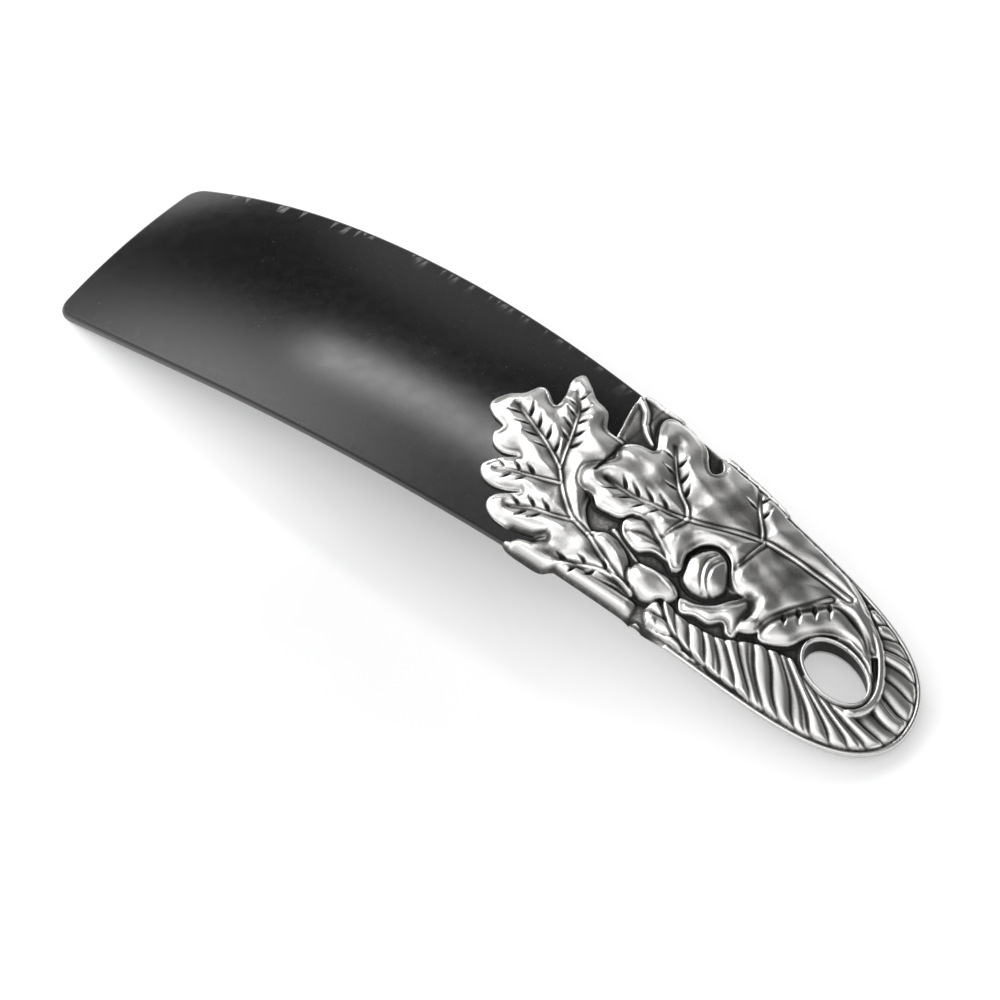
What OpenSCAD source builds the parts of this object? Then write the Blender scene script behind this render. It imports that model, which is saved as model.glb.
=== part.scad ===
// Hand shoehorn: an arched, black-coated blade with a cast pewter leaf handle.
// The length runs along X, from the blade's tip at -X to the handle's end at +X.
// Every face of the blade and handle follows one arched, crowned surface: a ring
// about a level axis below the shoehorn. Heights are radii from that axis, taken
// at the crown, and a plan outline seen from above cuts each layer to shape.

/* [Arch] */
// Straight length from the blade's tip to the handle's end
overall_length = 190; // [180:5:200]
// Radius of the lengthwise arch, at the top of the blade
arch_r = 217; // [205:1:240]
// Radius of the crosswise crown, at the top of the blade
crown_r = 114; // [90:1:200]

/* [Blade] */
// Thickness of the blade
blade_t = 2; // [1.6:0.1:2.4]
// Greatest width of the blade
blade_w = 47; // [44:0.5:50]
// Width of the blade at its tip
tip_w = 40.4; // [36:0.2:44]
// Width of the blade where the handle covers it
shoulder_w = 41; // [38:0.5:43]
// Radius of the two corners at the blade's tip
tip_corner_r = 3.5; // [2:0.5:6]
// Distance from the tip to the shoulders, where the blade narrows to its tang
blade_length = 121; // [119:0.5:123]
// Width of the tang, inside the handle
tang_w = 24; // [18:1:28]
// Length of the tang beyond the shoulders
tang_length = 40; // [34:1:42]

/* [Handle] */
// Width of the handle where it starts
handle_w = 41.6; // [41:0.2:44]
// Fraction of that width lost in the taper towards the handle's end
handle_taper = 0.25; // [0.2:0.01:0.3]
// Squareness of the handle's end on its -Y side
near_power = 7; // [5:0.5:12]
// Squareness of the handle's end on its +Y side
far_power = 10; // [5:0.5:12]
// Distance from the tip to the handle's full thickness
handle_start = 119; // [117:0.5:120]
// Thickness of the back shell
back_t = 1.4; // [1.2:0.1:1.8]
// Length by which the back shell reaches under the blade, ahead of the shoulders
back_lap = 9; // [6:0.5:12]
// Height of the handle's plain face above the top of the blade
face_h = 0.9; // [0.7:0.1:1.2]
// Distance by which the casting's body stays inside its thin rim
body_inset = 1; // [0.6:0.1:1.2]
// Distance by which the back shell stays inside the rim
back_inset = 2; // [1.5:0.1:2.5]
// Height of the lower leaf layer above the top of the blade
lower_leaf_h = 1.5; // [1.3:0.1:1.8]
// Height of the upper leaf layer above the top of the blade
upper_leaf_h = 2; // [1.9:0.1:2.4]
// Height of the gadroon band above the top of the blade
gadroon_h = 1.3; // [1.1:0.1:1.6]
// Width of the plain rim left outside the gadroon band
rim_w = 1; // [0.6:0.1:1.6]

/* [Hanging hole] */
// Length of the oval hole
hole_l = 12.6; // [11:0.2:14]
// Width of the oval hole
hole_w = 9.4; // [8:0.2:10]
// Distance from the handle's end to the middle of the hole
hole_inset = 15.5; // [14.5:0.5:16.5]
// Width of the raised ring round the hole
ring_w = 0.7; // [0.5:0.1:1]
// Height of the raised ring above the top of the blade
ring_h = 1.6; // [1.4:0.1:1.9]

/* [Joining] */
// Thickness of the adhesive film on each face of the tang
bond_t = 0.1; // [0.08:0.01:0.15]
// Clearance between the tang's edges and the pocket
pocket_gap = 0.15; // [0.1:0.05:0.3]
// Diameter of the two locating pins
pin_d = 3; // [2.5:0.5:3.5]
// Depth of each pin in the back shell
pin_depth = 0.8; // [0.6:0.1:0.9]
// Height left above the blind end of each pin's hole in the front casting
pin_cover = 0.3; // [0.2:0.1:0.4]

/* [Foot] */
// Length of the flat land under the handle's end, where the shoehorn stands
land_l = 1.5; // [1:0.25:2]

/* [Hidden] */
$fn = 96;

// Radii of the layers, from the underside up
blade_top_r = arch_r;
blade_low_r = blade_top_r - blade_t;
back_top_r = blade_low_r - bond_t;
back_low_r = back_top_r - back_t;
seat_r = blade_top_r + bond_t;
face_r = blade_top_r + face_h;
lower_leaf_r = blade_top_r + lower_leaf_h;
upper_leaf_r = blade_top_r + upper_leaf_h;
gadroon_r = blade_top_r + gadroon_h;
ring_r = blade_top_r + ring_h;
pin_foot_r = back_top_r - pin_depth;
pin_top_r = face_r - pin_cover;

half_l = overall_length / 2;
// Height of the arch's axis: the underside of the handle then meets z = 0 at the land
axis_z = -sqrt(back_low_r * back_low_r - pow(half_l - back_inset - land_l, 2));
// Half of the angle that each ring section sweeps
sweep = 32;
// Half of the width of each ring section, wider than any part
section_half = 30;
// Height of the blocks that cut the plan outlines, over the whole arch
block_h = 60;

hole_at = overall_length - hole_inset;
// Distance of each pin from that end of the tang
pin_inset = 9;
pin_at = [blade_length + pin_inset, blade_length + tang_length - pin_inset];
// Margin of bare tang round the adhesive
bond_margin = 1;

// Distance from the tip to the blade's widest place
widest_at = 50;
// Exponents of the blade's edge curve before and after the widest place
tip_bend = 2.3;
shoulder_bend = 1.9;
// Numbers of steps along the blade's edge, round a corner, and round the tang's
// and the handle's ends
edge_steps = 20;
corner_steps = 6;
tang_steps = 12;
end_steps = 24;
// Numbers of steps round the hole, and from point to point along a leaf's edge
hole_steps = 48;
leaf_steps = 4;
// Distance by which the back shell's lap stays inside the blade's edges
lap_inset = 1;

// Half width of the blade at a distance u from the tip
function blade_edge(u) = u < widest_at
    ? blade_w / 2 - (blade_w - tip_w) / 2 * pow((widest_at - u) / widest_at, tip_bend)
    : blade_w / 2 - (blade_w - shoulder_w) / 2
        * pow((u - widest_at) / (blade_length - widest_at), shoulder_bend);

// Half width of the handle, less an inset, at a fraction t of the way from its start to its end
function handle_edge(t, inset, power) = (handle_w / 2 * (1 - handle_taper * t) - inset)
    * sqrt(max(0, 1 - pow(t, power)));

// Points round a strip, from lists of [u, half width] for its +Y and -Y sides
function two_sides(far, near) = concat(
    far,
    [for (i = [len(near) - 1:-1:0]) [near[i][0], -near[i][1]]]
);
function both_sides(edge) = two_sides(edge, edge);

// One side of the blade: the rounded corner, then the long edge to the shoulder
blade_side = concat(
    [for (i = [0:corner_steps]) let (a = 90 * i / corner_steps, u = tip_corner_r * (1 - cos(a)))
        [u, blade_edge(tip_corner_r) - tip_corner_r * (1 - sin(a))]],
    [for (i = [1:edge_steps]) let (u = tip_corner_r
        + (blade_length - tip_corner_r) * i / edge_steps) [u, blade_edge(u)]]
);

// One side of the tang, wider by a gap: straight, then round its end
function tang_side(gap) = let (r = tang_w / 2 + gap, middle = blade_length + tang_length - tang_w / 2)
    concat([[blade_length + gap, r]],
        [for (i = [0:tang_steps]) let (a = 90 * i / tang_steps)
            [middle + r * sin(a), r * max(0.001, cos(a))]]);

// One side of the handle, with steps that crowd towards the rounded end
function handle_side(inset, power) = [for (i = [0:end_steps]) let (t = sin(90 * i / end_steps))
    [handle_start + (overall_length - inset - handle_start) * t,
     max(0.01, handle_edge(t, inset, power))]];

// A smooth closed curve through a loop of points, with a number of steps to each point
function loop_point(loop, i, t) = let (
        n = len(loop), a = loop[(i + n - 1) % n], b = loop[i % n],
        c = loop[(i + 1) % n], d = loop[(i + 2) % n]
    ) b + t * (c - a) / 2 + t * t * (a - 2.5 * b + 2 * c - d / 2)
      + t * t * t * (1.5 * (b - c) + (d - a) / 2);
function smooth_loop(loop, steps) =
    [for (i = [0:len(loop) - 1], k = [0:steps - 1]) loop_point(loop, i, k / steps)];

// Oak leaf that lies over the blade, lobe by lobe from the -Y edge to the +Y edge,
// as [distance from the tip, distance across]
lower_leaf = [
    [130, -20], [122, -21.4], [116, -22], [114.5, -20.5], [119, -17.5], [112, -19.5],
    [108, -17.5], [111, -12.5], [104, -13.5], [102.5, -11], [105.5, -6], [100, -5.5],
    [98.5, -1.5], [95, -1], [94.5, 2.5], [98, 6], [99.5, 9.5], [104, 7.5],
    [102.5, 14], [103.5, 17], [108, 14], [112.5, 12.5], [116, 9], [126, 9],
    [136, -2], [146, -8], [140, -18.5]
];
// Oak leaf on the +Y side of the handle, over the lower leaf
upper_leaf = [
    [117.5, -2], [117.5, 1], [120, 4], [119, 6.5], [119.5, 9], [123.5, 11.5],
    [121, 15], [120.5, 19.5], [128.5, 19.5], [133.5, 15.5], [135.5, 17], [135, 20],
    [144, 19], [153, 17], [160, 15.5], [167, 13], [174, 11], [180, 7], [181.5, 0],
    [179, 6.5], [173, 9], [167, 8], [164, 2], [160, -3], [157, -6],
    [154, -2], [149, 1.5], [144, 2], [142, -5], [134, -5], [124, -5]
];
// Small leaf at the +Y edge, ahead of the upper leaf
edge_leaf = [
    [117.5, 8.5], [116, 13], [114.5, 17.5], [114.5, 20.8], [122, 20.5], [125, 14]
];

// The ring section between two crown radii
module ring_section(low_r, high_r) {
    middle = arch_r - crown_r;
    intersection() {
        difference() {
            translate([middle, 0]) circle(r = high_r - middle);
            translate([middle, 0]) circle(r = low_r - middle);
        }
        translate([arch_r / 2, -section_half]) square([arch_r, 2 * section_half]);
    }
}

// One layer of the arched, crowned shell
module layer(low_r, high_r) {
    translate([0, 0, axis_z])
        rotate([0, -90, -90])
            rotate([0, 0, -sweep])
                rotate_extrude(angle = 2 * sweep) ring_section(low_r, high_r);
}

// A layer cut to the plan outline of its children
module cut_layer(low_r, high_r) {
    intersection() {
        layer(low_r, high_r);
        plan_block() children();
    }
}

// An upright block over the plan outline of its children
module plan_block() {
    translate([-half_l, 0, -block_h / 2]) linear_extrude(height = 2 * block_h) children();
}

module blade_plan() {
    polygon(both_sides(concat(blade_side, tang_side(0))));
}

// The outline of the pocket: everything ahead of the shoulders, and the tang
module pocket_plan() {
    ahead = [[0, section_half], [blade_length + pocket_gap, section_half]];
    polygon(both_sides(concat(ahead, tang_side(pocket_gap))));
}

module bond_plan() {
    polygon(both_sides(tang_side(-bond_margin)));
}

module handle_plan(inset) {
    polygon(two_sides(handle_side(inset, far_power), handle_side(inset, near_power)));
}

// The back shell's outline: inside the handle's, with a lap under the end of the blade
module back_plan() {
    front = blade_length - back_lap;
    lap = [[front, shoulder_w / 2 - lap_inset], [handle_start, shoulder_w / 2 - lap_inset]];
    polygon(two_sides(
        concat(lap, handle_side(back_inset, far_power)),
        concat(lap, handle_side(back_inset, near_power))
    ));
}

module hole_plan(grow) {
    translate([hole_at, 0])
        polygon([for (i = [1:hole_steps]) let (a = i * 360 / hole_steps)
            [(hole_l / 2 + grow) * cos(a), (hole_w / 2 + grow) * sin(a)]]);
}

// The gadroon band: the handle's end and its -Y side, inside the rim
module gadroon_plan() {
    intersection() {
        handle_plan(rim_w);
        polygon([[140, -22], [147, -11], [158, -9], [166, -4], [170, 6], [180, 6],
            [181, 22], [192, 22], [192, -22]]);
    }
}

// Pins, or their holes, square through the tang between two radii
module pins(low_r, high_r) {
    for (u = pin_at)
        translate([0, 0, axis_z])
            rotate([0, asin((u - half_l) / arch_r), 0])
                translate([0, 0, low_r]) cylinder(h = high_r - low_r, d = pin_d);
}

// Everything under the surface that the shoehorn stands on
module under_floor() {
    translate([-half_l - 1, -section_half, -block_h])
        cube([overall_length + 2, 2 * section_half, block_h]);
}

module blade() {
    color([0.1, 0.1, 0.11])
    difference() {
        cut_layer(blade_low_r, blade_top_r) blade_plan();
        pins(back_low_r, upper_leaf_r);
        under_floor();
    }
}

module handle_front() {
    color([0.62, 0.62, 0.6])
    difference() {
        union() {
            cut_layer(back_top_r, face_r) handle_plan(body_inset);
            cut_layer(seat_r, face_r) handle_plan(0);
            cut_layer(seat_r, lower_leaf_r) polygon(smooth_loop(lower_leaf, leaf_steps));
            cut_layer(seat_r, lower_leaf_r) polygon(smooth_loop(edge_leaf, leaf_steps));
            cut_layer(seat_r, upper_leaf_r) polygon(smooth_loop(upper_leaf, leaf_steps));
            cut_layer(seat_r, gadroon_r) gadroon_plan();
            cut_layer(seat_r, ring_r) hole_plan(ring_w);
        }
        cut_layer(back_low_r, seat_r) pocket_plan();
        plan_block() hole_plan(0);
        pins(back_low_r, pin_top_r);
        under_floor();
    }
}

module handle_back() {
    color([0.56, 0.56, 0.54])
    difference() {
        cut_layer(back_low_r, back_top_r) back_plan();
        plan_block() hole_plan(0);
        pins(pin_foot_r, upper_leaf_r);
        under_floor();
    }
}

module bond_front() {
    color([0.8, 0.75, 0.6])
    difference() {
        cut_layer(blade_top_r, seat_r) bond_plan();
        pins(back_low_r, upper_leaf_r);
    }
}

module bond_back() {
    color([0.8, 0.75, 0.6])
    difference() {
        cut_layer(back_top_r, blade_low_r) bond_plan();
        pins(back_low_r, upper_leaf_r);
    }
}

module tang_pins() {
    color([0.75, 0.6, 0.3]) pins(pin_foot_r, pin_top_r);
}

blade();
handle_front();
handle_back();
bond_front();
bond_back();
tang_pins();
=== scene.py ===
"""Looks of the hand shoehorn: a satin black blade, and a cast pewter handle in oak-leaf relief.

Plan places are [u, y] in millimetres: u runs from the blade's tip to the handle's end, and y
runs across. Heights are in millimetres above the top of the blade, square to its arched and
crowned face. The relief is one height field, laid leaf by leaf, and meshed to its outline.
"""

import math

import bpy
import numpy as np
from mathutils import Matrix, Vector
from mathutils.geometry import delaunay_2d_cdt


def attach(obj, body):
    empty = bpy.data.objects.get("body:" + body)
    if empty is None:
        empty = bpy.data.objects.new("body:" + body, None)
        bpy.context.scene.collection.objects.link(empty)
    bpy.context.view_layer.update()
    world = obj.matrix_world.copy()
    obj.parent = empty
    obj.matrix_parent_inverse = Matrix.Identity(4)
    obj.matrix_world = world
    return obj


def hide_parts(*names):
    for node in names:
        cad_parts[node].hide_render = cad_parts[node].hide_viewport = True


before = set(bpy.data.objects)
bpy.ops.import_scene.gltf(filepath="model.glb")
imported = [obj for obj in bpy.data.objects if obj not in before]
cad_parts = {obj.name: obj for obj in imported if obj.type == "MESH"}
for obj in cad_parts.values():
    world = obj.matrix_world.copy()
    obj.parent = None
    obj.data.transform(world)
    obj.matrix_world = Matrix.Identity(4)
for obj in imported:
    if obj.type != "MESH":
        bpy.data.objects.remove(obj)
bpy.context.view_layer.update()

MM = 0.001

# The driving sizes of the solids, in millimetres.
LENGTH = 190.0
ARCH_R = 217.0
CROWN_R = 114.0
BLADE_T = 2.0
BLADE_W = 47.0
TIP_W = 40.4
SHOULDER_W = 41.0
TIP_CORNER_R = 3.5
BLADE_LENGTH = 121.0
TANG_W = 24.0
TANG_LENGTH = 40.0
HANDLE_W = 41.6
HANDLE_START = 119.0
BOND_T = 0.1
BACK_T = 1.4
BACK_LAP = 9.0
BACK_INSET = 2.0
LAP_INSET = 1.0
LAND_L = 1.5
HOLE_L = 12.6
HOLE_W = 9.4
HOLE_INSET = 15.5
WIDEST_AT = 50.0
TIP_BEND = 2.3
SHOULDER_BEND = 1.9
HANDLE_TAPER = 0.25
NEAR_POWER = 7.0
FAR_POWER = 10.0

SEAT = BOND_T
BACK_TOP = -BLADE_T - BOND_T
BACK_LOW = BACK_TOP - BACK_T
AXIS_Z = -math.sqrt((ARCH_R + BACK_LOW) ** 2 - (LENGTH / 2 - BACK_INSET - LAND_L) ** 2)
HOLE_AT = LENGTH - HOLE_INSET
RIM_W = 0.95


# ---------------------------------------------------------------- the arched surface and outlines


def arch_points(u, y, height):
    """Places in metres of plan points u, y at heights above the blade's top face."""
    x = u - LENGTH / 2
    radius = ARCH_R + height - (CROWN_R - np.sqrt(CROWN_R**2 - y**2))
    z = np.maximum(np.sqrt(radius**2 - x**2) + AXIS_Z, 0)
    return np.stack([x, y, z], -1) * MM


def blade_edge(u):
    """Half width of the blade at a distance u from its tip."""
    before = (BLADE_W - TIP_W) / 2 * (np.clip(WIDEST_AT - u, 0, None) / WIDEST_AT) ** TIP_BEND
    after = np.clip(u - WIDEST_AT, 0, None) / (BLADE_LENGTH - WIDEST_AT)
    return BLADE_W / 2 - before - (BLADE_W - SHOULDER_W) / 2 * after**SHOULDER_BEND


def handle_side(power, inset=0.0):
    """[u, half width] along one side of the handle, from its start to its end, less an inset."""
    t = np.sin(np.linspace(0, math.pi / 2, 60))
    u = HANDLE_START + (LENGTH - inset - HANDLE_START) * t
    half = (HANDLE_W / 2 * (1 - HANDLE_TAPER * t) - inset) * np.sqrt(1 - t**power)
    return np.stack([u, np.maximum(half, 0.01)], -1)


def two_sided(far, near):
    """A closed outline from the [u, half width] points along its +Y and -Y sides."""
    return np.concatenate([far, near[::-1] * [1, -1]])


def handle_outline():
    return two_sided(handle_side(FAR_POWER), handle_side(NEAR_POWER))


def hole_outline(grow=0.0):
    a = np.linspace(0, 2 * math.pi, 96, endpoint=False)
    return np.stack(
        [HOLE_AT + (HOLE_L / 2 + grow) * np.cos(a), (HOLE_W / 2 + grow) * np.sin(a)], -1
    )


def smooth(points, closed, steps=6):
    """A Catmull-Rom curve through given points."""
    p = np.array(points, float)
    n = len(p)
    spans = n if closed else n - 1
    out = []
    for i in range(spans):
        index = [(i + k) % n if closed else min(max(i + k, 0), n - 1) for k in (-1, 0, 1, 2)]
        a, b, c, d = p[index]
        for k in range(steps):
            t = k / steps
            out.append(
                b
                + t * (c - a) / 2
                + t * t * (a - 2.5 * b + 2 * c - d / 2)
                + t**3 * (1.5 * (b - c) + (d - a) / 2)
            )
    if not closed:
        out.append(p[-1])
    return np.array(out)


def near_box(p, line, margin):
    """Which points lie in the box of a line, grown by a margin."""
    return np.all((p > line.min(0) - margin) & (p < line.max(0) + margin), axis=1)


def line_distance(p, line, reach=12.0):
    """Distance of each point to an open line, and how far along it the nearest point is, 0 to 1."""
    distance = np.full(len(p), reach)
    along = np.zeros(len(p))
    near = np.where(near_box(p, line, reach))[0]
    q = p[near]
    best = np.full(len(q), reach)
    where = np.zeros(len(q))
    lengths = np.linalg.norm(np.diff(line, axis=0), axis=1)
    starts = np.concatenate([[0], np.cumsum(lengths)])
    for a, b, start, length in zip(line[:-1], line[1:], starts, lengths):
        if length < 1e-9:
            continue
        v = (b - a) / length
        t = np.clip((q - a) @ v, 0, length)
        d = np.linalg.norm(q - a - t[:, None] * v, axis=1)
        closer = d < best
        best[closer] = d[closer]
        where[closer] = (start + t[closer]) / starts[-1]
    distance[near] = best
    along[near] = where
    return distance, along


def inside_distance(p, loop, reach=12.0):
    """Signed distance of each point to a closed loop, positive inside."""
    closed = np.concatenate([loop, loop[:1]])
    distance, _ = line_distance(p, closed, reach)
    inside = np.zeros(len(p), bool)
    near = np.where(near_box(p, closed, 0.5))[0]
    x, y = p[near].T
    odd = np.zeros(len(near), bool)
    for (ax, ay), (bx, by) in zip(closed[:-1], closed[1:]):
        if ay == by:
            continue
        crosses = (ay > y) != (by > y)
        odd ^= crosses & (x < (bx - ax) * (y - ay) / (by - ay) + ax)
    inside[near] = odd
    return np.where(inside, distance, -distance)


# ---------------------------------------------------------------- the leaves, as listed points

# Big oak leaf over the end of the blade, lobe by lobe from the -Y edge to the +Y edge.
LEAF_A = [
    (124, -21.8), (120, -22.2), (117, -22.2), (115, -21.2), (116.2, -19.6), (120.8, -16.2),
    (118.5, -17.6), (114.5, -18.8), (111, -18.9), (108.2, -17.6), (108, -15.2), (111.4, -11.9),
    (109.2, -13), (106.5, -13.8), (103.8, -13.4), (102.2, -11.6), (103, -9.4), (106.2, -6.2),
    (103.4, -7.2), (100.8, -6.6), (99.4, -4.6), (99.8, -2.6), (97, -1.8), (94.9, -0.4),
    (94.8, 1.8), (96, 4), (98, 5.8), (99.2, 8.8), (101, 9.2), (104.2, 7.4),
    (104, 10.4), (102.6, 14), (103.4, 16.8), (106, 15.6), (109, 13.6), (112.4, 12.6),
    (115, 9.4), (119.6, 9), (122, 5), (122, -3), (123, -7), (126.4, -9.6),
    (129, -8.2), (133, -8.6), (137, -11.6), (140, -15.4), (136, -15.8), (130, -18), (126, -20.4),
]
A_MIDRIB = [(140.5, -15), (135, -13.8), (130, -12.1), (126.3, -10.7), (122.5, -10.1),
            (119, -7.9), (116.6, -5.9), (113.6, -3.1), (108.4, -0.5), (104, 1.1), (99.2, 2.9)]
A_VEINS = [
    [(114, -3.2), (112.8, -0.4), (110.8, 4.4), (108.6, 8.8), (105.4, 12.4)],
    [(116, -5.9), (111.5, -7.9), (108.2, -9.1), (105, -10.8)],
    [(123, -10.3), (119.2, -11.9), (115.6, -13.2), (111.8, -15.4)],
    [(126.4, -10.8), (127.4, -9.4)],
]
A_LOW_VEIN = [(140, -14.8), (137, -14.3), (133, -14.7), (129.5, -16.4), (126.2, -18.7),
              (124.6, -21)]

# Small curled leaf at the +Y edge.
EDGE_LEAF = [(118, 8), (116.2, 12), (114.8, 16.4), (114.2, 19.6), (115.4, 21.3), (120, 21.2),
             (124, 21), (126, 16), (123, 10)]
EDGE_RIDGE = [(114.8, 19.6), (117.2, 18), (119.2, 15.2), (121.4, 13.4), (123.6, 12.2)]

# Second oak leaf, over the +Y side of the handle.
LEAF_B = [
    (124.2, 11.4), (121.4, 10.4), (119.4, 8.8), (119, 6.8), (120.2, 4.6), (118, 1.8),
    (117, -0.2), (117.6, -2.6), (119.4, -4.2), (122, -4.2), (124, -5.4), (126.2, -5.2),
    (128.8, -4.4), (130.4, -2.4), (133, -1.8), (136, -3), (139.4, -4.6), (142, -6.4),
    (143.4, -5), (142.4, -2), (143.2, 1.4), (145.6, 3.2), (148.4, 2.6), (151, -0.4),
    (153.6, -1.6), (156.2, -0.8), (157.4, -3), (157.2, -7), (159.6, -6), (162.2, -2.4),
    (164.6, 1.8), (167.6, 5.2), (171.8, 6.4), (175, 6), (178.4, 8.6), (174, 12.6),
    (169, 15.4), (163.6, 17.2), (158, 17.8), (152, 18.6), (146, 19.6), (140, 20.2),
    (135, 20.6), (133.8, 19.4), (135.6, 16.8), (134.8, 15.2), (133, 16.4), (131, 18.6),
    (128, 20), (124, 20.6), (121.4, 19.6), (121, 17.4), (122.6, 14.4),
]
B_MIDRIB = [(168, 12.8), (161.5, 12.2), (154, 11.2), (149.6, 10), (144, 6.9), (138.6, 3.9),
            (132, 1.6), (127.4, 0.5), (122, 0.4)]
B_VEINS = [
    [(137.8, 4), (136.4, 5.6), (133.4, 7.4), (129.8, 10.9), (126.6, 14.6)],
    [(149.8, 10.6), (148.8, 12), (146.2, 14.6), (143.2, 18.4)],
    [(138, 3.6), (137.4, 0.6), (137, -2.2)],
    [(150.8, 9.8), (150.5, 5.4), (150.2, 2)],
    [(165.8, 10.4), (163, 4.6), (161.2, 0.4), (160.2, -3)],
]

# Stem that sweeps from below the hole round its end to the midrib, and the toothed lobe beside it.
STEM = [(179.4, -5.4), (181.6, -3.6), (182.6, -0.6), (182, 3), (179.6, 7), (176.4, 10.4),
        (172.6, 12.3), (168, 12.9)]
TOOTHED_LOBE = [(160.2, -4.4), (160.4, -1), (162.4, 3.6), (165.8, 9.2), (168.6, 10.8),
                (173.4, 10), (177, 7.4), (179.6, 4), (177.4, 5.4), (173.6, 6), (169.8, 4.6),
                (167.2, 0.8), (165.6, -3), (162, -5.8)]

# Wedge cuts in that lobe, as [start, end].
TEETH = [((161.8, 1.2), (163.2, -0.8)), ((163, 4), (164.8, 1.6)), ((164.6, 6.8), (166.6, 4.2)),
         ((166.2, 9.2), (168.2, 6.6))]

# Curled lobes in the middle of the handle.
CURL = [(129.6, -4), (130.4, -6), (132.4, -7.2), (135.2, -7.6), (137.4, -5.8), (140, -5.6),
        (142.4, -6.6), (141.6, -4.6), (138, -2.4), (134.6, -1), (131.8, -0.8)]
HUMP = [(143.4, -4.6), (142.8, -2), (143.6, 0.8), (145.4, 2.8), (147.8, 2.6), (150.4, 0.4),
        (151.6, -2.6), (150.4, -5.8), (147.6, -7.2), (144.8, -6.6)]
HUMP_LINES = [
    [(148.8, -6.2), (146.8, -3.6), (145.7, -0.6), (146.4, 1.8)],
    [(150.2, -5.6), (148.2, -3.8), (147.2, -1), (147.8, 1.4)],
]
ACORN = [(136.2, -10), (136.4, -12.2), (138.4, -14), (141.4, -14.8), (144, -13.4),
         (145.8, -11.4), (146, -9.2), (143.6, -7.8), (140.4, -8), (137.4, -8.8)]
ACORN_STEM = [(129.4, -6.8), (133, -8), (137.4, -9.2), (141, -8.8), (145.4, -9.6)]
DRAPE = [(146.4, -9.4), (149.2, -8.2), (151.8, -6), (153.4, -3.2), (155.2, -0.6), (157.2, -1.6),
         (157.4, -4.8), (158, -8.4), (156.6, -9), (154.8, -7.8), (153, -9.8), (150.2, -10.4),
         (148, -11.6)]

# Axis of the rolled edge on the -Y side.
EDGE_ROLL = [(116, -20.4), (124, -19.7), (130, -18.9), (136, -18.2), (142, -17.6)]
KNOT = [(142.4, -19.4), (143.4, -18.2), (144.6, -18.4), (145, -19.6), (143.8, -20.4)]

# Feather leaf: its pointed end, then the ribbed band round the end of the handle.
FEATHER = [
    (143.2, -15.4), (143.6, -12.6), (145.4, -11.6), (149, -11.9), (153, -11.3), (157, -9.8),
    (160.4, -7), (164, -5.4), (167.8, -4), (171.6, -5.2), (176.6, -5.2), (179.8, -4),
    (181.4, -1.2), (181.4, 2), (180.2, 5.8), (177.8, 9.4), (174, 13), (170.4, 14.8),
    (172, 18.4), (184, 16), (193, 8), (193, -6), (186, -15), (172, -19), (161, -20.6),
    (154, -21.6), (149, -21.8), (146, -20), (145.2, -17.8),
]
FEATHER_MIDRIB = [(143.8, -11.9), (146.2, -13.7), (149.4, -15.5), (152.6, -16.2),
                  (157, -16.5), (162, -16.3), (167, -15.6)]


# ---------------------------------------------------------------- the relief


def hump(d, width):
    """1 at d = 0, falling smoothly to 0 at the width."""
    return np.clip(1 - (d / width) ** 2, 0, 1) ** 2


def rounded(d, width):
    """0 at d = 0, rising as a quarter circle to 1 at the width."""
    t = np.clip(d / width, 0, 1)
    return np.sqrt(1 - (1 - t) ** 2)


def least_distance(p, lines):
    return np.min([line_distance(p, smooth(line, False))[0] for line in lines], axis=0)


def lay_leaf(h, p, outline, level, dome, veins=(), edge=0.45, bead=0.28):
    """Lays a leaf over the relief: a steep edge with a fine bead along it, a shallow channel
    inside that, and lobes that swell between the veins and the edge. Returns the relief and
    the distance inside the leaf."""
    d = inside_distance(p, smooth(outline, True))
    to_vein = least_distance(p, veins) if veins else np.full(len(p), 3.0)
    span = np.clip(d, 0, None) + to_vein + 0.2
    swell = dome * np.sin(math.pi * np.clip(d / span, 0, 1)) * np.clip(span / 4, 0, 1)
    wave = 0.16 * np.sin(0.7 * p[:, 0] + 0.4 * p[:, 1]) * np.sin(0.7 * p[:, 1] - 0.4 * p[:, 0])
    top = level + swell + wave + bead * hump(d - 0.2, 0.26) - 0.5 * bead * hump(d - 0.9, 0.6)
    laid = h + (top - h) * (0.35 + 0.65 * rounded(d, edge))
    shaded = h - 0.25 * hump(d, 0.6)
    return np.where(d > 0, laid, np.where(d > -0.6, shaded, h)), d


def raise_vein(h, p, line, width, height, on):
    """A narrow vein with a fine groove on each side, thinning from its root to its tip."""
    d, along = line_distance(p, smooth(line, False))
    w = width * (1 - 0.5 * along)
    ridge = height * (1 - 0.4 * along) * np.exp(-((d / (0.72 * w)) ** 4))
    groove = 0.35 * height * np.exp(-(((d - 1.35 * w) / (0.4 * w)) ** 2))
    groove *= np.clip((1 - along) / 0.25, 0, 1)
    fade = np.clip((1 - along) / 0.04, 0, 1)
    return np.where(on, h + (ridge - groove) * fade, h)


def cut(h, p, start, end, width, depth):
    """A wedge-shaped cut, widest a third of the way along and drawn out to a point."""
    d, along = line_distance(p, np.array([start, end]), 2.0)
    w = width * np.interp(along, [0, 0.3, 1], [0.5, 1, 0.25])
    fade = np.interp(along, [0, 0.3, 1], [0.7, 1, 0.25])
    return h - depth * fade * np.exp(-((d / w) ** 4)) * (d < 2.0)


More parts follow.
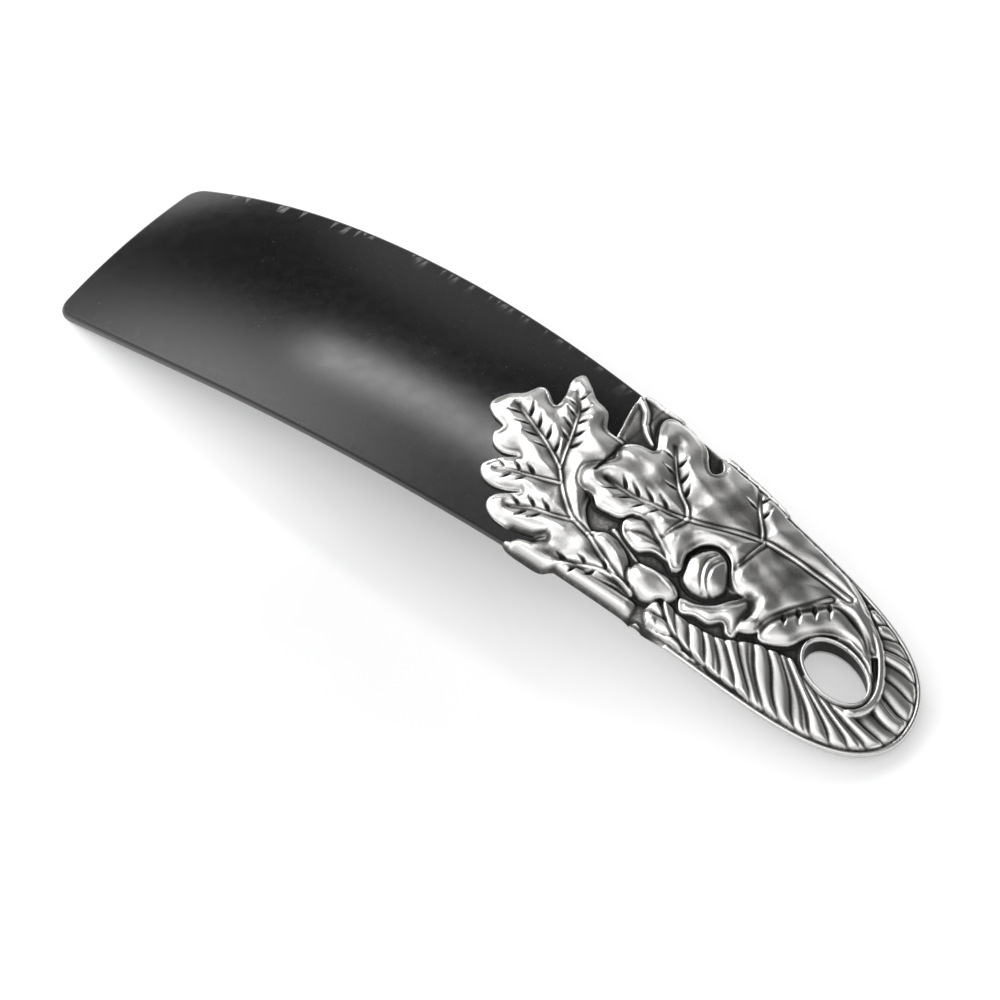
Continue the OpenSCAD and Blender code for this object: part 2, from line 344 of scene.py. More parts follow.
def cut_nicks(h, p, line, first, pitch, last, length, sides=(-1, 1)):
    """Short nicks beside a vein that lean towards its tip."""
    curve = smooth(line, False)
    steps = np.linalg.norm(np.diff(curve, axis=0), axis=1)
    at = np.concatenate([[0], np.cumsum(steps)])
    for side in sides:
        for s in np.arange(first + 0.25 * pitch * side, last * at[-1], pitch):
            root = np.array([np.interp(s, at, curve[:, k]) for k in (0, 1)])
            ahead = np.array([np.interp(s + 0.3, at, curve[:, k]) for k in (0, 1)])
            a = math.atan2(*(ahead - root)[::-1]) + side * math.radians(44)
            out = np.array([math.cos(a), math.sin(a)])
            h = cut(h, p, root + 0.9 * out, root + (length + 0.4) * out, 0.26, 0.85)
    return h


def engrave(h, p, line, width, depth):
    """A groove along a line."""
    d, _ = line_distance(p, smooth(line, False))
    return h - depth * np.exp(-((d / width) ** 2))


def roll(h, p, axis, half_width, level):
    """A long rounded roll about an axis line."""
    d, along = line_distance(p, smooth(axis, False))
    ends = np.clip(np.minimum(along, 1 - along) / 0.06, 0, 1)
    body = level * np.sqrt(np.clip(1 - (d / half_width) ** 2, 0, 1)) * np.sqrt(ends)
    return np.maximum(h, body)


def rib_guides():
    """Root and direction of each rib of the feather band, evenly spaced along the rim."""
    outline = handle_outline()
    keep = outline[(outline[:, 0] > 148)]
    far_first = keep[np.argsort(-np.arctan2(keep[:, 1], keep[:, 0] - 172))]
    path = far_first[::-1]
    steps = np.linalg.norm(np.diff(path, axis=0), axis=1)
    at = np.concatenate([[0], np.cumsum(steps)])
    k = np.arange(0, 30)
    places = 0.5 + 2.5 * k + 0.035 * k**2
    places = places[places < at[-1] - 6]
    turns = [0, 18, 30, 38, 44, 50, 62, 80]
    angles = [138, 137, 140, 158, 176, 184, 196, 240]
    roots = np.stack([np.interp(places, at, path[:, k]) for k in (0, 1)], -1)
    lean = np.radians(np.interp(places, turns, angles))
    return roots, np.stack([np.cos(lean), np.sin(lean)], -1)


def rib_phase(p, roots, directions):
    """A number that grows by 1 from each rib guide to the next."""
    rel = p[None] - roots[:, None]
    side = directions[:, None, 0] * rel[..., 1] - directions[:, None, 1] * rel[..., 0]
    phase = np.full(len(p), np.nan)
    for i in range(len(roots) - 1):
        between = (side[i] <= 0) & (side[i + 1] > 0) & np.isnan(phase)
        phase[between] = i + side[i][between] / (side[i] - side[i + 1])[between]
    return phase


def feather(h, p, rim_d, hole_d):
    """The feather leaf. Its inner half has convex ribs that fan from the rim round to the hole's
    far side, its outer half has petals that slope back from the midrib, and between them runs
    the midrib's groove."""
    d = inside_distance(p, smooth(FEATHER, True))
    band = np.minimum(np.minimum(d, rim_d - RIM_W), hole_d - 0.8)
    mid = smooth(FEATHER_MIDRIB, False)
    above_mid = p[:, 1] - np.interp(p[:, 0], mid[:, 0], mid[:, 1])
    outer = (above_mid < 0) & (p[:, 0] < mid[-1, 0])
    phase = rib_phase(p, *rib_guides())
    phase += 0.16 * np.sin(0.5 * (rim_d - 4) + 0.9 * phase) * np.clip(rim_d / 3, 0, 1)
    petals = (p[:, 0] - 1.1 * above_mid - 144) / 3.1
    f = np.where(outer, petals, np.nan_to_num(phase, nan=0.5)) % 1
    rib = np.sqrt(np.clip(1 - (2 * f - 1) ** 2, 0, 1))
    tall = 0.75 + 0.2 * np.sin(2.4 * np.floor(np.nan_to_num(phase)))
    crease = 0.2 * hump((f - 0.65) * 3, 0.4) * (np.floor(np.nan_to_num(phase)) % 3 == 1)
    top = 0.5 + tall * rib - crease * ~outer
    laid = 0.2 + (top - 0.2) * (0.35 + 0.65 * rounded(band, 1.1))
    to_mid, along = line_distance(p, mid)
    laid -= 0.7 * np.exp(-((to_mid / 0.3) ** 2)) * np.clip(8 * (1 - along), 0, 1)
    return np.where(band > 0, laid, h), band


def fold_over(u):
    """1 where the -Y edge is rolled over, fading to 0 at each end of the roll."""
    return np.clip((150 - u) / 4, 0, 1) * np.clip((u - 113) / 2, 0, 1)


def relief(p):
    """Heights of the handle's relief at plan points."""
    rim_d = inside_distance(p, handle_outline())
    hole_d = -inside_distance(p, hole_outline())
    h = np.full(len(p), 0.4)
    u, y = p.T
    h += 0.05 * np.sin(8.3 * u + 2 * np.sin(3.1 * y)) * np.sin(7.7 * y + 2 * np.sin(3.7 * u))

    h, _ = lay_leaf(h, p, EDGE_LEAF, 0.7, -0.35)
    h = raise_vein(h, p, EDGE_RIDGE, 0.8, 0.7, y > 8)

    h, a_d = lay_leaf(h, p, LEAF_A, 0.7, 0.9, [A_MIDRIB, *A_VEINS[:3], A_LOW_VEIN])
    h = roll(h, p, EDGE_ROLL, 2.4, 1.7)
    h = raise_vein(h, p, A_MIDRIB, 0.5, 0.5, a_d > 0)
    for vein in A_VEINS:
        h = raise_vein(h, p, vein, 0.36, 0.42, a_d > 0)
    h = raise_vein(h, p, A_LOW_VEIN, 0.45, 0.5, a_d > -2)
    h = cut_nicks(h, p, A_MIDRIB[6:], 7.5, 3.0, 0.88, 3.6)
    for vein in A_VEINS[:3]:
        h = cut_nicks(h, p, vein, 5, 2.8, 0.9, 3.0)
    h = cut_nicks(h, p, A_LOW_VEIN, 7, 3.6, 0.8, 2.6)

    h, _ = lay_leaf(h, p, ACORN, 1.0, 1.0, edge=1.6, bead=0)
    h = raise_vein(h, p, ACORN_STEM, 0.5, 0.4, y < 0)
    h, _ = lay_leaf(h, p, CURL, 0.8, 0.7, [[(131, -5.6), (134, -4), (137, -3.8)]])
    h, _ = lay_leaf(h, p, HUMP, 0.9, 1.1, edge=1.4, bead=0)

    h, b_d = lay_leaf(h, p, LEAF_B, 1.1, 1.0, [B_MIDRIB, *B_VEINS])
    h = raise_vein(h, p, B_MIDRIB, 0.55, 0.5, b_d > 0)
    for vein in B_VEINS:
        h = raise_vein(h, p, vein, 0.4, 0.45, b_d > 0)
    h = cut_nicks(h, p, B_MIDRIB, 36, 2.8, 0.95, 3.4)
    for vein in B_VEINS[:2]:
        h = cut_nicks(h, p, vein, 4.6, 3.4, 0.82, 3.2)
    h = cut_nicks(h, p, B_VEINS[4], 5, 3.6, 0.95, 2.6, sides=(1,))
    h, _ = lay_leaf(h, p, DRAPE, 0.7, 0.7, [DRAPE[:4]], edge=0.4)

    h, band = feather(h, p, rim_d, hole_d)
    h, _ = lay_leaf(h, p, TOOTHED_LOBE, 1.1, 0.6, [TOOTHED_LOBE[:6]], edge=0.9)
    for start, end in TEETH:
        h = cut(h, p, start, end, 0.34, 0.6)
    h = np.where((hole_d < 1.6) & (u > 171), np.maximum(h, 0.85), h)
    h = roll(h, p, STEM, 0.85, 1.9)
    h = engrave(h, p, STEM[1:-1], 0.22, 0.35)
    h, _ = lay_leaf(h, p, KNOT, 1.1, 0.3, edge=0.8, bead=0)

    for line in HUMP_LINES:
        h = engrave(h, p, line, 0.25, 0.4)

    pin_d = np.minimum(np.hypot(u - 130, y), np.hypot(u - 152, y))
    h = np.maximum(h, np.where(pin_d < 2.2, 0.8, 0.22))
    outer_d = np.maximum(rim_d, a_d)
    turn = fold_over(u) * (y < -10)
    h -= turn * (h + 1.3) * (1 - rounded(outer_d + 0.3, 2.3))
    far_edge = (rim_d > 0) & (p[:, 0] > 118) & (p[:, 1] > 0) & (band <= 0)
    h = np.where(far_edge, 0.2 + (h - 0.2) * rounded(rim_d, 1.2), h)
    rim = (rim_d > -1) & (rim_d < RIM_W) & (p[:, 0] > 150) & (band <= 0)
    h = np.where(rim, 0.75 * rounded(rim_d + 0.2, 0.5) - 0.6 * hump(rim_d - RIM_W, 0.35), h)
    ring = 1.45 * rounded(hole_d + 0.1, 0.25) * rounded(0.75 - hole_d, 0.3)
    h = np.where(hole_d < 0.75, np.maximum(ring - 0.35 * (hole_d < 0.2), 0.75), h)
    return np.minimum(h, 2.35)


# ---------------------------------------------------------------- the meshes


def blur(grid, sigma):
    """Gaussian blur of a grid, with sigma in cells."""
    reach = int(math.ceil(3 * sigma))
    weights = np.exp(-0.5 * (np.arange(-reach, reach + 1) / sigma) ** 2)
    weights /= weights.sum()
    for axis in (0, 1):
        pad = [(reach, reach) if axis == k else (0, 0) for k in (0, 1)]
        wide = np.pad(grid, pad, mode="edge")
        n = grid.shape[axis]
        grid = sum(w * np.take(wide, range(k, k + n), axis) for k, w in enumerate(weights))
    return grid


def add_mesh(name, verts, faces, sharp=None):
    mesh = bpy.data.meshes.new(name)
    mesh.from_pydata(verts.tolist(), [], faces)
    mesh.polygons.foreach_set("use_smooth", [True] * len(mesh.polygons))
    if sharp is not None:
        ends = np.zeros(2 * len(mesh.edges), np.int32)
        mesh.edges.foreach_get("vertices", ends)
        both = sharp[ends.reshape(-1, 2)].all(axis=1)
        mesh.attributes.new("sharp_edge", "BOOLEAN", "EDGE").data.foreach_set("value", both)
    mesh.update()
    piece = bpy.data.objects.new(name, mesh)
    bpy.context.collection.objects.link(piece)
    return piece


def grid_points(low_u, high_u, half_y, step):
    u, y = np.meshgrid(
        np.arange(low_u, high_u + step, step), np.arange(-half_y, half_y, step), indexing="ij"
    )
    return u, y


def inside_edges(p, edges):
    """Which points lie inside a set of closed edge loops, by counting crossings."""
    odd = np.zeros(len(p), bool)
    x, y = p.T
    for (ax, ay), (bx, by) in edges:
        if ay != by:
            crosses = (ay > y) != (by > y)
            odd ^= crosses & (x < (bx - ax) * (y - ay) / (by - ay) + ax)
    return odd


def fill(points, edges, spacing, margin):
    """Triangles that fill edge loops, with inner points on a grid. Returns points, triangles."""
    loop_points = points[np.unique(edges)]
    low, high = loop_points.min(0), loop_points.max(0)
    u, y = grid_points(low[0], high[0], max(-low[1], high[1]), spacing)
    inner = np.stack([u.ravel(), y.ravel()], -1)
    inner = inner[inside_edges(inner, points[edges])]
    cell = {}
    for x, v in loop_points:
        cell.setdefault((int(x // spacing), int(v // spacing)), []).append((x, v))
    kept = []
    for x, v in inner:
        i, j = int(x // spacing), int(v // spacing)
        close = [q for a in (-1, 0, 1) for b in (-1, 0, 1) for q in cell.get((i + a, j + b), [])]
        if all((x - q[0]) ** 2 + (v - q[1]) ** 2 > margin**2 for q in close):
            kept.append((x, v))
    inner = np.array(kept).reshape(-1, 2)
    every = np.concatenate([points, inner])
    out = delaunay_2d_cdt([Vector(q) for q in every], edges.tolist(), [], 0, 1e-6)
    verts = np.array([tuple(q) for q in out[0]])
    faces = np.array([f for f in out[2] if len(f) == 3])
    middles = verts[faces].mean(axis=1)
    faces = faces[inside_edges(middles, points[edges])]
    order = np.array([ids[0] if ids else -1 for ids in out[3]])
    return every, order[faces]


def loop_edges(count, start=0):
    ids = np.arange(count)
    return np.stack([ids, (ids + 1) % count], -1) + start


def even_loop(loop, spacing):
    """A closed outline with evenly spaced points, its corners kept."""
    out = []
    for a, b in zip(loop, np.roll(loop, -1, axis=0)):
        n = max(1, int(math.ceil(np.linalg.norm(b - a) / spacing)))
        out += [a + (b - a) * k / n for k in range(n)]
    return np.array(out)


def inset_loop(loop, inset):
    """An outline moved inwards by an inset; hole outlines run the other way round."""
    before = loop - np.roll(loop, 1, axis=0)
    after = np.roll(loop, -1, axis=0) - loop
    n1 = np.stack([-before[:, 1], before[:, 0]], -1) / np.linalg.norm(before, axis=1)[:, None]
    n2 = np.stack([-after[:, 1], after[:, 0]], -1) / np.linalg.norm(after, axis=1)[:, None]
    n = n1 + n2
    scale = np.clip(2 / np.sum(n * n, axis=1), 0, 1.6)
    return loop + inset * n * scale[:, None]


def counter_clockwise(loop):
    x, y = loop.T
    area = np.sum(x * np.roll(y, -1) - y * np.roll(x, -1))
    return loop if area > 0 else loop[::-1]


def plate(name, outline, holes, low, high, low_round, high_round, spacing):
    """A thin arched plate with rounded edges between two heights."""
    loops = [counter_clockwise(even_loop(outline, 0.9))]
    loops += [counter_clockwise(even_loop(h, 0.6))[::-1] for h in holes]
    rows = []
    for radius, face, out in ((low_round, low, 1), (high_round, high, -1)):
        turns = np.radians([0, 15, 32, 50, 70, 90])
        row = [(radius * (1 - math.sin(a)), face + out * radius * (1 - math.cos(a))) for a in turns]
        row.insert(0, (radius + 0.3, face))
        rows.append(row if out > 0 else row[::-1])
    profile = rows[0] + rows[1]
    verts, faces = [], []
    rings = []
    start = 0
    for loop in loops:
        n = len(loop)
        for inset, height in profile:
            q = inset_loop(loop, inset)
            verts.append(np.column_stack([q, np.full(n, height)]))
        for k in range(len(profile) - 1):
            a = start + k * n
            for i in range(n):
                j = (i + 1) % n
                faces.append((a + i, a + j, a + n + j, a + n + i))
        rings.append((start, n))
        start += n * len(profile)
    every = np.concatenate(verts)
    for height, row, flip in ((low, 0, True), (high, len(profile) - 1, False)):
        ids = np.concatenate([np.arange(s + row * n, s + (row + 1) * n) for s, n in rings])
        edges = np.concatenate(
            [loop_edges(n, sum(m for _, m in rings[:k])) for k, (_, n) in enumerate(rings)]
        )
        points, tris = fill(every[ids, :2], edges, spacing, 0.6 * spacing)
        inner = points[len(ids):]
        index = np.concatenate([ids, np.arange(len(every), len(every) + len(inner))])
        every = np.concatenate([every, np.column_stack([inner, np.full(len(inner), height)])])
        faces += [tuple(index[f[::-1] if flip else f]) for f in tris]
    return add_mesh(name, arch_points(*every.T), [tuple(int(i) for i in f) for f in faces])


def tang_side():
    a = np.linspace(0, math.pi / 2, 12)
    r = TANG_W / 2
    middle = BLADE_LENGTH + TANG_LENGTH - r
    arc = np.stack([middle + r * np.sin(a), r * np.maximum(np.cos(a), 0.001)], -1)
    return np.concatenate([[[BLADE_LENGTH, r]], arc])


def blade_outline():
    a = np.linspace(0, math.pi / 2, 8)
    r = TIP_CORNER_R
    corner = np.stack([r * (1 - np.cos(a)), blade_edge(r) - r * (1 - np.sin(a))], -1)
    u = np.linspace(r, BLADE_LENGTH, 60)[1:]
    side = np.concatenate([corner, np.stack([u, blade_edge(u)], -1), tang_side()])
    return two_sided(side, side)


def back_outline():
    half = SHOULDER_W / 2 - LAP_INSET
    lap = [[BLADE_LENGTH - BACK_LAP, half], [HANDLE_START, half]]
    far, near = (
        np.concatenate([lap, handle_side(power, BACK_INSET)]) for power in (FAR_POWER, NEAR_POWER)
    )
    return two_sided(far, near)


def build_blade():
    return plate("blade_body", blade_outline(), [], -BLADE_T, 0, 0.45, 0.6, 2.0)


def build_back():
    return plate(
        "back_shell", back_outline(), [hole_outline()], BACK_LOW, BACK_TOP, 1.1, 0.05, 2.0
    )


def casting_region(p):
    """Signed distance inside the front casting's outline: the handle and the leaves, less the
    hole."""
    shapes = [handle_outline()] + [smooth(leaf, True) for leaf in (LEAF_A, LEAF_B, EDGE_LEAF)]
    d = np.max([inside_distance(p, shape) for shape in shapes], axis=0)
    return np.minimum(d, -inside_distance(p, hole_outline()))


def casting_underside(p):
    """Height of the casting's underside: it sits on the blade and tang, and elsewhere slopes in
    from its thin rim to the back shell."""
    over_blade = (p[:, 0] < BLADE_LENGTH + 0.15) & (np.abs(p[:, 1]) < blade_edge(p[:, 0]) + 0.15)
    over_tang = inside_distance(p, two_sided(tang_side(), tang_side())) > -0.15
    inward = np.clip(inside_distance(p, handle_outline()) / 1.2, 0, 1)
    hole_d = -inside_distance(p, hole_outline())
    inward = np.where(hole_d < 1, 1, inward)
    return np.where(over_blade | over_tang, SEAT, SEAT + (BACK_TOP - SEAT) * inward)


def casting_grid(step):
    """The relief's grid points, heights, recess shade values and its grid squares in the outline.
    The recess shade value is the recess depth, held at 0.06 near the outline, with painted shade
    added on the rolled edge's lower side.
    """
    u, y = grid_points(93.6, 190.6, 22.9, step)
    p = np.stack([u.ravel(), y.ravel()], -1)
    h = blur(relief(p).reshape(u.shape), 0.14 / step)
    # Recess depth, which the pewter's colour turns into darker hollows and lighter ridges: partly
    # patina, partly painted shade and highlight.
    recess_shade = h - 0.75 * blur(h, 0.75 / step) - 0.25 * blur(h, 2.6 / step)
    f = casting_region(p).reshape(u.shape)
    inner = np.clip(f / 0.9, 0, 1)
    recess_shade = recess_shade * inner + 0.06 * (1 - inner)
    # Painted shade: the rolled edge's lower side is darkened in colour.
    recess_shade -= 0.3 * np.clip((-16.5 - y) / 2, 0, 1) * fold_over(u)
    slope = np.stack(np.gradient(f, step), -1).reshape(-1, 2)
    slope /= np.maximum(np.linalg.norm(slope, axis=-1, keepdims=True), 1e-6)
    ids = np.arange(u.size).reshape(u.shape)
    corners = np.stack([ids[:-1, :-1], ids[1:, :-1], ids[1:, 1:], ids[:-1, 1:]], -1)
    squares = corners.reshape(-1, 4)
    squares = squares[(f.ravel()[squares] > 0).all(1)]
    return p, h.ravel(), recess_shade.ravel(), slope, squares


def border_edges(faces):
    """Edges that only one face has, in that face's direction."""
    sides = set()
    for q in faces.tolist():
        sides.update(zip(q, q[1:] + q[:1]))
    return np.array([e for e in sides if (e[1], e[0]) not in sides])


def build_casting():
    """The front casting: the relief on a fine grid, cut to the outline, with walls and an
    underside."""
    p, h, recess_shade, slope, squares = casting_grid(0.185)
    border = border_edges(squares)
    rim = np.unique(border)
    for _ in range(3):
        p[rim] -= casting_region(p[rim])[:, None] * slope[rim] * 0.98
    h[rim] = relief(p[rim])
    used = np.unique(squares)
    new = np.full(len(p), -1)
    new[used] = np.arange(len(used))
    at_rim = np.full(len(p), -1)
    at_rim[rim] = np.arange(len(rim))
    plan = p[used]
    limit = 1.48 + (plan[:, 0] - LENGTH / 2) ** 2 / (2 * ARCH_R)
    top = np.column_stack([plan, np.minimum(h[used], limit)])

    rim_top = top[new[rim], 2]
    under, tris = fill(p[rim], at_rim[border], 1.2, 0.8)
    under = np.column_stack([under, casting_underside(under)])
    under[: len(rim), 2] = np.minimum(under[: len(rim), 2], rim_top - 0.3)
    in_hole = -inside_distance(p[rim], hole_outline()) < 0.1
    shelf = np.column_stack([p[rim], np.where(in_hole, rim_top - 0.25, rim_top - 0.08)])
    rows = [top, shelf, under]
    starts = np.cumsum([0] + [len(row) for row in rows])
    faces = new[squares].tolist()
    for a, b in border.tolist():
        i, j = at_rim[a], at_rim[b]
        faces.append((new[b], new[a], starts[1] + i, starts[1] + j))
        faces.append((starts[1] + j, starts[1] + i, starts[2] + i, starts[2] + j))
    faces += (starts[2] + tris[:, ::-1]).tolist()
    faces = [tuple(int(i) for i in face) for face in faces]
    verts = np.concatenate(rows)
    sharp = np.zeros(len(verts), bool)
    sharp[starts[2]: starts[2] + len(rim)] = True
    piece = add_mesh("casting_relief", arch_points(*verts.T), faces, sharp)
    # Painted shade: the hole's walls get -0.3, which darkens their colour.
    dark = np.where(in_hole, -0.3, 0.0)
    shade = np.concatenate([recess_shade[used], dark, dark, np.zeros(len(under) - len(rim))])
    store = piece.data.attributes.new("recess_shade", "FLOAT", "POINT")
    store.data.foreach_set("value", shade)
    return piece


# ---------------------------------------------------------------- the materials


class Nodes:
    """A material's node tree, with short ways to add and join nodes."""

    def __init__(self, name):
        self.material = bpy.data.materials.new(name)
        self.material.use_nodes = True
        self.tree = self.material.node_tree
        self.shader = self.tree.nodes["Principled BSDF"]
        self.place = self.add("ShaderNodeTexCoord").outputs["Object"]

    def add(self, kind, **values):
        node = self.tree.nodes.new(kind)
        for key, value in values.items():
            setattr(node, key, value)
        return node

    def join(self, out, into):
        self.tree.links.new(out, into)

    def noise(self, per_metre, detail=3.0, roughness=0.6):
        node = self.add("ShaderNodeTexNoise")
        node.inputs["Scale"].default_value = per_metre
        node.inputs["Detail"].default_value = detail
        node.inputs["Roughness"].default_value = roughness
        self.join(self.place, node.inputs["Vector"])
        return node.outputs["Fac"]

    def ramp(self, value, *stops):
        """Colours or greys by value, as (place, colour) stops."""
        node = self.add("ShaderNodeValToRGB")
        marks = node.color_ramp.elements
        while len(marks) < len(stops):
            marks.new(0.5)
        for mark, (at, colour) in zip(marks, stops):
            mark.position = at
            mark.color = (*(colour if isinstance(colour, tuple) else (colour,) * 3), 1)
        self.join(value, node.inputs["Fac"])
        return node.outputs["Color"]

    def spread(self, value, low, high, to_low, to_high):
        """The value mapped from one range to another, and held at its ends."""
        node = self.add("ShaderNodeMapRange")
        for socket, number in zip(node.inputs[1:5], (low, high, to_low, to_high)):
            socket.default_value = number
        self.join(value, node.inputs[0])
        return node.outputs[0]

    def mix(self, fac, a, b, blend="MIX"):
        node = self.add("ShaderNodeMix", data_type="RGBA", blend_type=blend)
        for socket, value in ((node.inputs[0], fac), (node.inputs[6], a), (node.inputs[7], b)):
            if isinstance(value, (int, float, tuple)):
                socket.default_value = value
            else:
                self.join(value, socket)
        return node.outputs[2]

    def bump(self, height, distance, strength=1.0, normal=None):
        node = self.add("ShaderNodeBump")
        node.inputs["Strength"].default_value = strength
        node.inputs["Distance"].default_value = distance
        self.join(height, node.inputs["Height"])
        if normal:
            self.join(normal, node.inputs["Normal"])
        return node.outputs["Normal"]

    def set(self, **values):
        for key, value in values.items():
            socket = self.shader.inputs[key.replace("_", " ").title().replace("Ior", "IOR")]
            if isinstance(value, (int, float, tuple)):
                socket.default_value = value
            else:
                self.join(value, socket)
        return self.material


def black_coating():
    """Satin black enamel: a fine orange-peel, faint mottling, and tiny pale specks."""
    m = Nodes("satin_black")
    mottle = m.ramp(m.noise(900), (0.35, (0.005, 0.005, 0.0052)), (0.7, (0.009, 0.009, 0.0092)))
    speck = m.ramp(m.noise(2600, 1.0), (0.74, 0.0), (0.80, 1.0))
    colour = m.mix(speck, mottle, (0.10, 0.10, 0.10, 1))
    rough = m.spread(m.noise(400), 0.3, 0.7, 0.16, 0.21)
    peel = m.bump(m.noise(5200, 2.0), 0.00004, 0.15)
    return m.set(base_color=colour, roughness=rough, normal=peel, ior=1.52)


def cast_pewter():
    """Antiqued pewter, finely grained. Its colour carries painted light: darker in the recesses,
    partly patina and partly painted shade, and lighter on ridges and edges, partly rubbed bright
    and partly painted highlight.
    """
    m = Nodes("antiqued_pewter_and_painted_shade")
    # Recess shade value: low values paint shade into hollows, the rolled edge and the hole's walls;
    # high values paint ridges lighter.
    recess_shade = m.add("ShaderNodeAttribute", attribute_name="recess_shade").outputs["Fac"]
    grain = m.noise(4500, 3.0, 0.75)
    grain_and_shade = m.add("ShaderNodeMath", operation="MULTIPLY_ADD")
    grain_and_shade.inputs[1].default_value = 0.22
    m.join(grain, grain_and_shade.inputs[0])
    m.join(recess_shade, grain_and_shade.inputs[2])
    high = m.spread(grain_and_shade.outputs[0], -0.19, 0.19, 0.0, 1.0)
    # Painted light and shade: the ramp turns low values dark and high values near white.
    colour = m.ramp(
        high,
        (0.0, (0.030, 0.030, 0.029)),
        (0.36, (0.09, 0.089, 0.086)),
        (0.60, (0.29, 0.286, 0.279)),
        (0.80, (0.54, 0.534, 0.521)),
        (1.0, (0.88, 0.875, 0.86)),
    )
    rough = m.spread(high, 0.0, 0.7, 0.46, 0.28)
    pits = m.bump(grain, 0.00005, 0.5)
    dents = m.bump(m.noise(800, 1.0), 0.00022, 0.1, pits)
    return m.set(base_color=colour, roughness=rough, normal=dents, metallic=1.0)


def plain_pewter():
    """The back shell's smooth pewter, with faint casting waves and hairline wear."""
    m = Nodes("plain_pewter")
    cloud = m.ramp(m.noise(260), (0.3, (0.42, 0.415, 0.40)), (0.7, (0.60, 0.595, 0.58)))
    grain = m.noise(9000, 2.0, 0.7)
    rough = m.spread(m.noise(700), 0.3, 0.7, 0.26, 0.38)
    pits = m.bump(grain, 0.00004, 0.3)
    waves = m.bump(m.noise(420, 1.0), 0.0003, 0.2, pits)
    return m.set(base_color=cloud, roughness=rough, normal=waves, metallic=1.0)


def cured_adhesive():
    """Cured dark epoxy film, slightly cloudy."""
    m = Nodes("cured_adhesive")
    cloud = m.ramp(m.noise(500), (0.3, (0.030, 0.030, 0.032)), (0.7, (0.060, 0.058, 0.056)))
    return m.set(base_color=cloud, roughness=m.spread(m.noise(900), 0.3, 0.7, 0.3, 0.5))


def turned_brass():
    """Turned brass pins with fine lathe marks."""
    m = Nodes("turned_brass")
    tone = m.ramp(m.noise(600), (0.3, (0.62, 0.42, 0.16)), (0.7, (0.80, 0.58, 0.26)))
    marks = m.bump(m.noise(6000), 0.00003, 0.4)
    return m.set(base_color=tone, roughness=0.3, normal=marks, metallic=1.0)


# The floor's painted shadow, an oval where its glow is dimmer, longer along X, with its middle 42
# mm to the camera's side.
SHADOW_OVAL_STRETCH = (0.6, 1, 0)
SHADOW_OVAL_SHIFT = (-0.006, 0.042, 0)


def glowing_floor_with_painted_shadow():
    """The pale floor: white acrylic that glows by its own emission, with a painted shadow: the glow
    is dimmer beside the blade's near edge.
    """
    m = Nodes("glowing_floor_with_painted_shadow")
    tone = m.ramp(m.noise(30), (0.3, 0.79), (0.7, 0.81))
    flat = m.add("ShaderNodeVectorMath", operation="MULTIPLY_ADD")
    m.join(m.add("ShaderNodeNewGeometry").outputs["Position"], flat.inputs[0])
    flat.inputs[1].default_value = SHADOW_OVAL_STRETCH
    flat.inputs[2].default_value = SHADOW_OVAL_SHIFT
    away = m.add("ShaderNodeVectorMath", operation="LENGTH")
    m.join(flat.outputs[0], away.inputs[0])
    # Painted shadow: the emission is 0.16 in the oval's middle, rising to 0.30 outside it.
    glow_with_painted_shadow = m.ramp(away.outputs["Value"], (0.0, 0.16), (0.018, 0.18), (0.038, 0.30))
    return m.set(base_color=tone, roughness=0.7, specular_ior_level=0.2,
                 emission_color=(0.98, 0.985, 1, 1), emission_strength=glow_with_painted_shadow)


def paint(piece, material):
    piece.data.materials.clear()
    piece.data.materials.append(material)


# ---------------------------------------------------------------- the object's pieces


def add_piece(piece, node, material):
    paint(piece, material)
    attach(piece, "root")
    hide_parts(node)


add_piece(build_blade(), "blade", black_coating())
add_piece(build_back(), "handle_back", plain_pewter())
add_piece(build_casting(), "handle_front", cast_pewter())

adhesive = cured_adhesive()
for name, material in (("bond_front", adhesive), ("bond_back", adhesive),
                       ("tang_pins", turned_brass())):
    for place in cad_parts[name].material_slots:
        place.material = material


# ---------------------------------------------------------------- the studio

# Radiances of the room: overhead and towards the viewer, on the left, in the dark gap behind
# the strip box, and on the wall behind.
ROOM_LIGHT = 0.7
LEFT_LIGHT = 3.2
DARK_LIGHT = 0.05
BACK_LIGHT = 0.5


def add_floor():
    mesh = bpy.data.meshes.new("floor")
    half = 2.5
    mesh.from_pydata([(-half, -half, 0), (half, -half, 0), (half, half, 0), (-half, half, 0)],
                     [], [(0, 1, 2, 3)])
    floor = bpy.data.objects.new("floor", mesh)
    bpy.context.collection.objects.link(floor)
    paint(floor, glowing_floor_with_painted_shadow())


def add_soft_box(name, direction, distance, width, height, radiance, along=(1, 0, 0)):
    """A rectangular light that faces the shoehorn from a direction, its width along an axis."""
    light = bpy.data.lights.new(name, "AREA")
    light.shape = "RECTANGLE"
    light.size = width
    light.size_y = height
    light.energy = math.pi * width * height * radiance
    lamp = bpy.data.objects.new(name, light)
    back = Vector(direction).normalized()
    side = (Vector(along) - back * back.dot(along)).normalized()
    turn = Matrix((side, back.cross(side), back)).transposed().to_4x4()
    lamp.matrix_world = Matrix.Translation(back * distance) @ turn
    bpy.context.collection.objects.link(lamp)


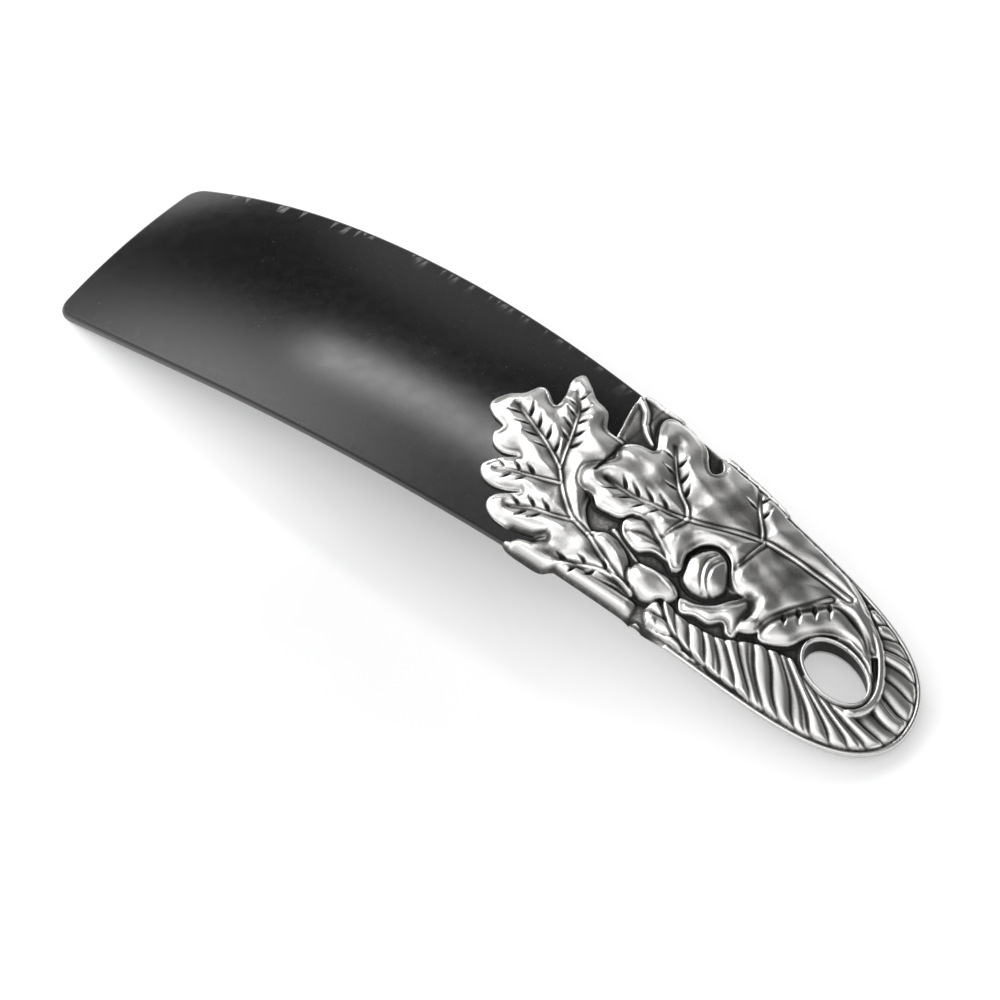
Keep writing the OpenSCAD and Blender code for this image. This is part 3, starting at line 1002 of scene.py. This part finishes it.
def light_room():
    """The room as the shoehorn mirrors it: bright overhead and towards the viewer, brighter to
    the left and darker near the horizon, with a dark gap before the wall behind."""
    world = bpy.data.worlds.new("studio")
    bpy.context.scene.world = world
    world.use_nodes = True
    tree = world.node_tree
    axes = tree.nodes.new("ShaderNodeSeparateXYZ")
    place = tree.nodes.new("ShaderNodeTexCoord").outputs["Generated"]
    tree.links.new(place, axes.inputs[0])

    def fade(axis, start, end, low, high):
        node = tree.nodes.new("ShaderNodeMapRange")
        node.interpolation_type = "SMOOTHSTEP"
        for socket, number in zip(node.inputs[1:5], (start, end, low, high)):
            socket.default_value = number
        tree.links.new(axes.outputs[axis], node.inputs[0])
        return node.outputs[0]

    def combine(operation, first, *others):
        for other in others:
            node = tree.nodes.new("ShaderNodeMath")
            node.operation = operation
            tree.links.new(first, node.inputs[0])
            tree.links.new(other, node.inputs[1])
            first = node.outputs[0]
        return first

    front = combine(
        "MULTIPLY",
        fade("Y", 0.46, 0.12, 0.0, 1.0),
        fade("X", -0.3, -0.8, ROOM_LIGHT, LEFT_LIGHT),
        fade("Z", 0.1, 0.6, 0.25, 1.0),
        fade("X", -0.1, 0.3, 1.0, 1.35),
    )
    back = combine(
        "MULTIPLY",
        fade("Y", 0.54, 0.64, 0.0, BACK_LIGHT),
        fade("X", -0.8, -0.65, 0.0, 1.0),
        fade("Z", 0.72, 0.58, 0.0, 1.0),
        fade("X", -0.2, 0.1, 1.0, 0.2),
    )
    dark = fade("Z", -1, 1, DARK_LIGHT, DARK_LIGHT)
    total = combine("ADD", front, back, dark)
    tree.links.new(total, tree.nodes["Background"].inputs["Strength"])
    tree.nodes["Background"].inputs["Color"].default_value = (1, 1, 1, 1)


def light_studio():
    light_room()
    add_soft_box("strip_box", (-0.44, 0.365, 0.82), 1.2, 0.86, 0.14, 6.5, (1, -0.12, 0))
    add_soft_box("front_box", (0.2, -0.4, 0.9), 1.2, 0.5, 0.25, 3)


def add_camera():
    """The photograph's view: 42 degrees round from the front, and 52 above the floor."""
    azimuth, elevation, roll = math.radians(41.73), math.radians(52.5), math.radians(2.5)
    distance = 0.76
    target = Vector((0.0039, -0.0032, 0.0021))
    data = bpy.data.cameras.new("camera")
    data.lens = 146
    data.sensor_width = 36
    data.clip_start = 0.01
    camera = bpy.data.objects.new("camera", data)
    out = Vector((
        math.sin(azimuth) * math.cos(elevation),
        -math.cos(azimuth) * math.cos(elevation),
        math.sin(elevation),
    ))
    camera.location = target + out * distance
    camera.rotation_euler = out.to_track_quat("Z", "Y").to_euler()
    camera.rotation_euler.rotate_axis("Z", -roll)
    bpy.context.collection.objects.link(camera)
    bpy.context.scene.camera = camera


add_floor()
light_studio()
add_camera()
bpy.context.scene.view_settings.view_transform = "Standard"
